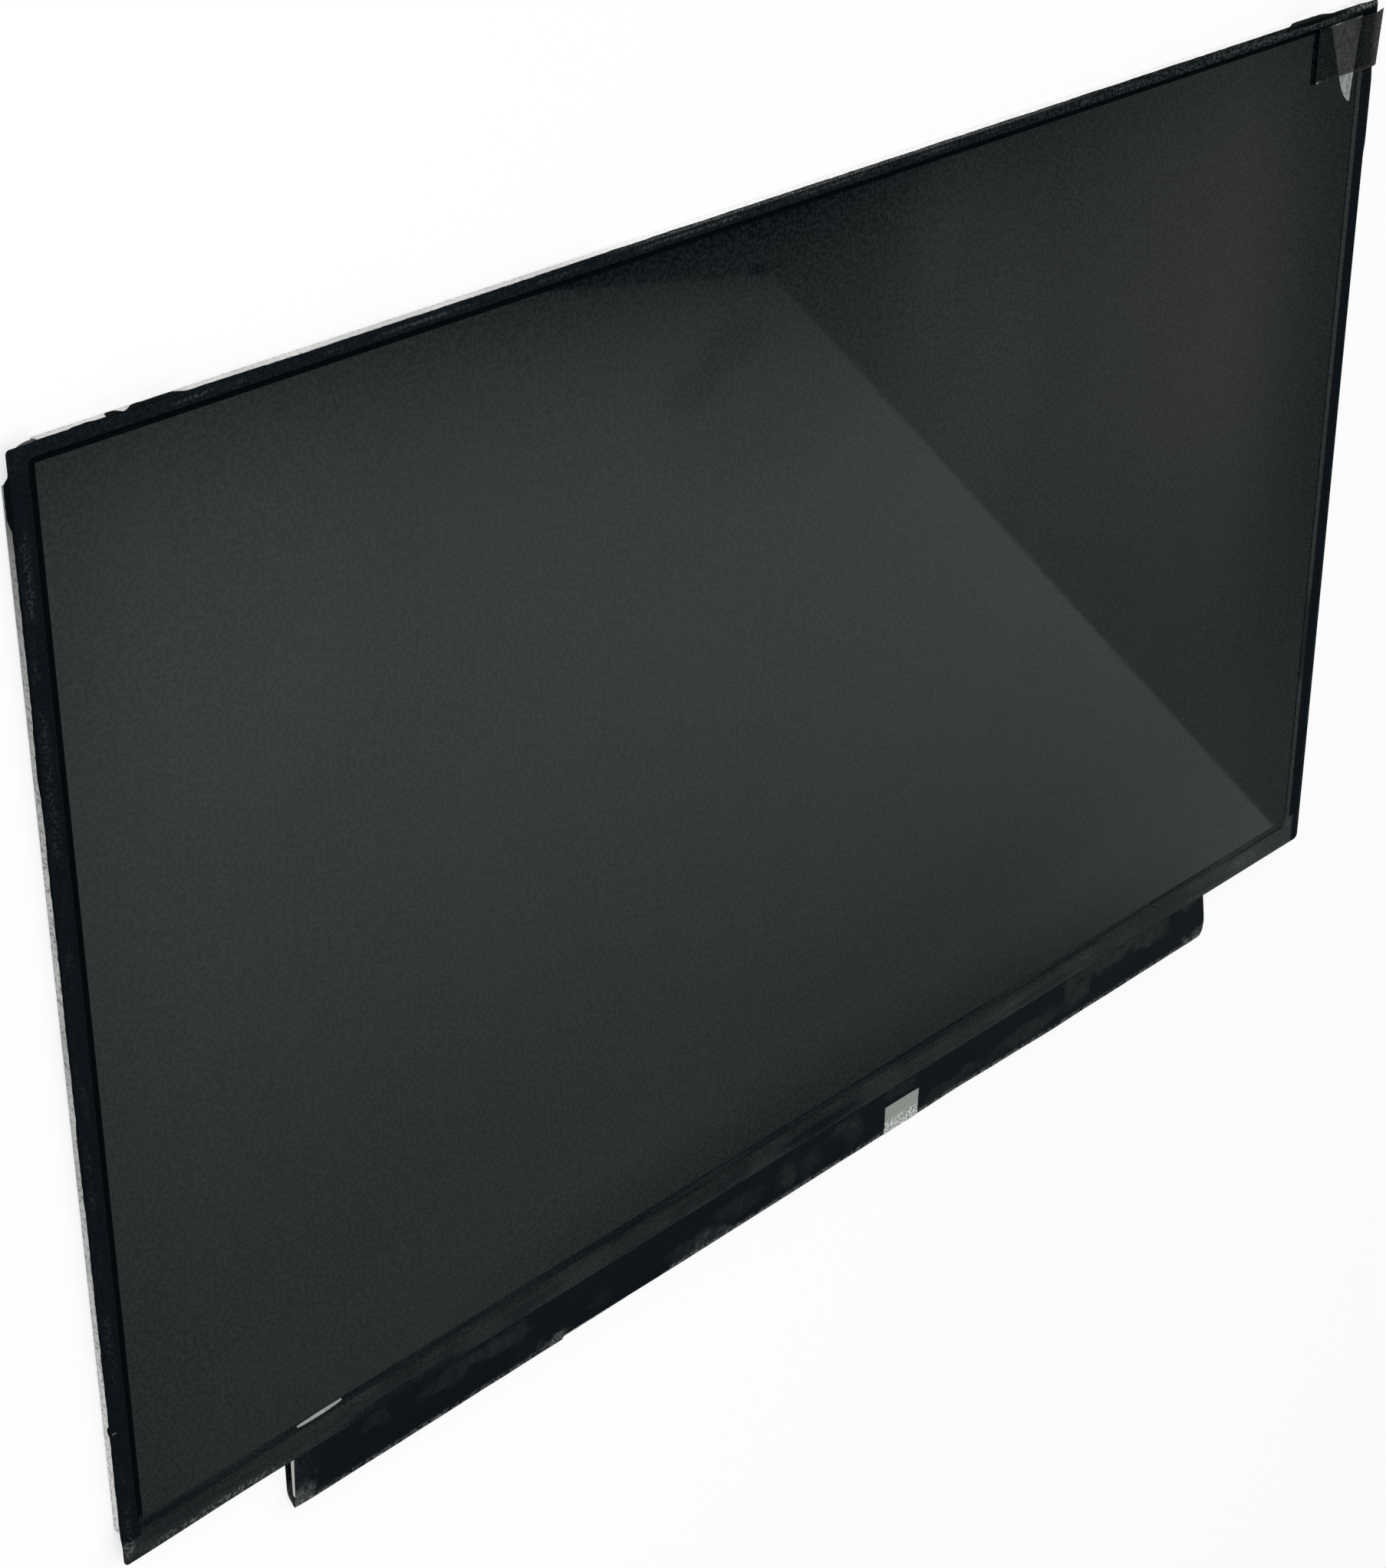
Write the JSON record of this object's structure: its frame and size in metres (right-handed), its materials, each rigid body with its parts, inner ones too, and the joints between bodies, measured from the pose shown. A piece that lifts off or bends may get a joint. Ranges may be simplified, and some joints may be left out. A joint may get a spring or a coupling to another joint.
{
  "type": "laptop screen panel",
  "caption": "Slim flat screen panel for a laptop lid: folded metal back, taped black border, dark glass and a covered driver board along its lower edge.",
  "frame": {"origin": "centre of the back cover's raised rear face, which the panel lies on", "axes": "+X along the screen's width to its right, +Y up the screen, +Z out of the screen"},
  "size_m": [0.356, 0.2144, 0.0031],
  "materials": {
    "cover_metal": "bare rolled sheet, satin, finger marks",
    "frame_plastic": "moulded, black",
    "white_sheet": "smooth white",
    "clear_acrylic": "clear",
    "flex_print": "amber flexible print",
    "lamp_plastic": "white resin",
    "black_tape": "black tape, slight sheen",
    "polarizer": "dark, fine anti-glare surface",
    "cell_glass": "clear thin glass",
    "clear_film": "clear film",
    "circuit_board": "solder mask, pale cut edge",
    "chip_resin": "black resin",
    "coil_ferrite": "grey ferrite",
    "capacitor_ceramic": "tan ceramic, tinned ends",
    "connector_plastic": "ivory plastic",
    "connector_steel": "stamped steel",
    "contact_metal": "gold plated",
    "latch_plastic": "black plastic",
    "black_sheet": "black sheet, smudged sheen",
    "sticker_paper": "light grey, worn",
    "smoky_tape": "smoky see-through tape",
    "pale_liner": "pale plastic"
  },
  "bodies": {
    "root": {"back_cover": "cover_metal", "mould_frame": "frame_plastic", "reflector_sheet": "white_sheet", "light_guide": "clear_acrylic", "diffuser_sheet": "white_sheet", "lower_prism_sheet": "clear_acrylic", "upper_prism_sheet": "clear_acrylic", "light_strip": "flex_print", "lamps": "lamp_plastic", "rim_tape": "black_tape", "rear_polarizer": "polarizer", "array_glass": "cell_glass", "colour_filter_glass": "cell_glass", "front_polarizer": "polarizer", "protective_film": "clear_film", "control_board": "circuit_board", "end_pad": "white_sheet", "timing_chip": "chip_resin", "power_chip": "chip_resin", "backlight_chip": "chip_resin", "power_coils": "coil_ferrite", "ceramic_capacitors": "capacitor_ceramic", "data_connector_housing": "connector_plastic", "data_connector_shell": "connector_steel", "data_connector_contacts": "contact_metal", "tail_connector": "connector_plastic", "tail_latch": "latch_plastic", "border_tape": "black_tape", "board_cover": "black_sheet", "rear_sheet_left": "black_sheet", "rear_sheet_right": "black_sheet", "sticker": "sticker_paper", "pull_tape": "smoky_tape", "pull_tongue": "pale_liner", "source_film_1": "flex_print", "driver_chip_1": "chip_resin", "source_film_2": "flex_print", "driver_chip_2": "chip_resin", "source_film_3": "flex_print", "driver_chip_3": "chip_resin", "source_film_4": "flex_print", "driver_chip_4": "chip_resin"}
  },
  "joints": []
}
